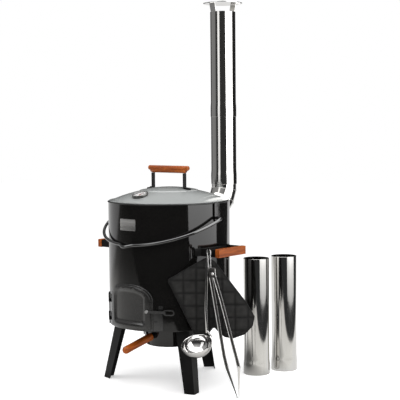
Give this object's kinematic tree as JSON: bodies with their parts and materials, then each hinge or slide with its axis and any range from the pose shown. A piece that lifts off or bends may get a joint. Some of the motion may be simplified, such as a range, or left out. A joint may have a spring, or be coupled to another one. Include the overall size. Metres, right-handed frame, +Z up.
{
  "type": "outdoor cauldron stove",
  "caption": "Wood-fired cauldron stove: drum on legs with fire door, ash pan, flue, lidded pot with bail, and hanging ladle, tongs and mitts.",
  "frame": {"origin": "on the floor, under the middle of the bounding box; the drum's axis stands at x -0.0397, y -0.0761", "axes": "+Z up, -Y toward the fire door, +Y toward the flue, X along the lid's grip"},
  "size_m": [0.5574, 0.5582, 1.146],
  "materials": {
    "enamel": "glossy black enamel",
    "black_steel": "satin black heat-proof paint",
    "grey_enamel": "glossy grey enamel",
    "stainless": "polished stainless sheet",
    "bright_steel": "zinc-plated or satin steel",
    "cast_iron": "plain casting",
    "wood": "oiled red-brown hardwood",
    "dial": "printed white dial",
    "needle": "red paint",
    "glass": "clear",
    "cloth": "black quilted cotton"
  },
  "bodies": {
    "stove_body": {"stove_shell": "enamel", "base_plate": "enamel", "grate_ring": "black_steel", "door_frame": "black_steel", "hinge_eye_upper": "black_steel", "hinge_eye_lower": "black_steel", "hinge_pin": "black_steel", "latch_keeper": "black_steel", "flue_collar": "black_steel", "leg_1": "black_steel", "leg_2": "black_steel", "leg_3": "black_steel", "pan_rail_left": "black_steel", "pan_rail_right": "black_steel", "side_bracket_left": "black_steel", "side_bracket_right": "black_steel", "tool_hook": "black_steel", "flue_elbow": "stainless", "flue_lower": "stainless", "flue_upper": "stainless", "flue_cap": "stainless", "cap_strap_1": "stainless", "cap_strap_2": "stainless", "name_plate": "bright_steel", "leg_bolt_1": "bright_steel", "leg_bolt_2": "bright_steel", "leg_bolt_3": "bright_steel", "fire_grate": "cast_iron", "side_grip_left": "wood", "side_grip_right": "wood"},
    "pot_body": {"pot": "enamel", "pot_ear_left": "enamel", "pot_ear_right": "enamel"},
    "bail_body": {"bail": "black_steel"},
    "lid_body": {"lid": "grey_enamel", "lid_post_left": "black_steel", "lid_post_right": "black_steel", "lid_grip": "wood", "thermometer_case": "bright_steel", "thermometer_dial": "dial", "thermometer_glass": "glass"},
    "needle_body": {"thermometer_needle": "needle"},
    "door_body": {"door_panel": "black_steel", "latch_bolt": "bright_steel"},
    "latch_body": {"latch_lever": "black_steel"},
    "pan_body": {"ash_pan": "enamel", "ash_handle": "wood"},
    "ladle_body": {"ladle_handle": "stainless", "ladle_bowl": "stainless"},
    "tongs_body": {"tongs_arm_left": "stainless", "tongs_loop": "stainless", "tongs_pin": "bright_steel"},
    "tongs_arm_body": {"tongs_arm_right": "stainless"},
    "mitt_left_body": {"mitt_left": "cloth"},
    "mitt_right_body": {"mitt_right": "cloth"},
    "spare_pipe_1_body": {"spare_pipe_1": "stainless"},
    "spare_pipe_2_body": {"spare_pipe_2": "stainless"}
  },
  "joints": [
    {"name": "pot_lift", "type": "slide", "parent": "stove_body", "child": "pot_body", "axis": [0, 0, 1], "range_m": [0, 0.25]},
    {"name": "bail_swing", "type": "hinge", "parent": "pot_body", "child": "bail_body", "pos_m": [-0.03971, -0.07606, 0.4947], "axis": [-1, 0, 0], "range_deg": [0, 170]},
    {"name": "lid_lift", "type": "slide", "parent": "pot_body", "child": "lid_body", "axis": [0, 0, 1], "range_m": [0, 0.12]},
    {"name": "needle_turn", "type": "hinge", "parent": "lid_body", "child": "needle_body", "pos_m": [-0.03971, -0.20093, 0.56116], "axis": [0, -0.2889, 0.9574], "range_deg": [-120, 120]},
    {"name": "door_swing", "type": "hinge", "parent": "stove_body", "child": "door_body", "pos_m": [-0.13524, -0.23507, 0], "axis": [0, 0, -1], "range_deg": [0, 110]},
    {"name": "latch_turn", "type": "hinge", "parent": "door_body", "child": "latch_body", "pos_m": [0.02683, -0.25125, 0.236], "axis": [0.3551, -0.9348, 0], "range_deg": [0, 60]},
    {"name": "pan_slide", "type": "slide", "parent": "stove_body", "child": "pan_body", "axis": [0, -1, 0], "range_m": [0, 0.25]},
    {"name": "ladle_swing", "type": "hinge", "parent": "stove_body", "child": "ladle_body", "pos_m": [0.19051, -0.17336, 0.4092], "axis": [-0.6293, 0.7771, 0], "range_deg": [0, 15]},
    {"name": "tongs_swing", "type": "hinge", "parent": "stove_body", "child": "tongs_body", "pos_m": [0.19554, -0.17958, 0.41208], "axis": [0.6293, -0.7771, 0], "range_deg": [0, 25]},
    {"name": "tongs_open", "type": "hinge", "parent": "tongs_body", "child": "tongs_arm_body", "pos_m": [0.20354, -0.17311, 0.34992], "axis": [0.6293, -0.7771, 0], "range_deg": [0, 12]},
    {"name": "mitt_left_swing", "type": "hinge", "parent": "stove_body", "child": "mitt_left_body", "pos_m": [0.17068, -0.14888, 0.39787], "axis": [-0.6293, 0.7771, 0], "range_deg": [0, 10]},
    {"name": "mitt_right_swing", "type": "hinge", "parent": "stove_body", "child": "mitt_right_body", "pos_m": [0.18012, -0.16054, 0.40327], "axis": [0.6293, -0.7771, 0], "range_deg": [0, 20]},
    {"name": "spare_pipe_1_lift", "type": "slide", "parent": "stove_body", "child": "spare_pipe_1_body", "axis": [0, 0, 1], "range_m": [0, 0.3]},
    {"name": "spare_pipe_2_lift", "type": "slide", "parent": "stove_body", "child": "spare_pipe_2_body", "axis": [0, 0, 1], "range_m": [0, 0.3]}
  ]
}
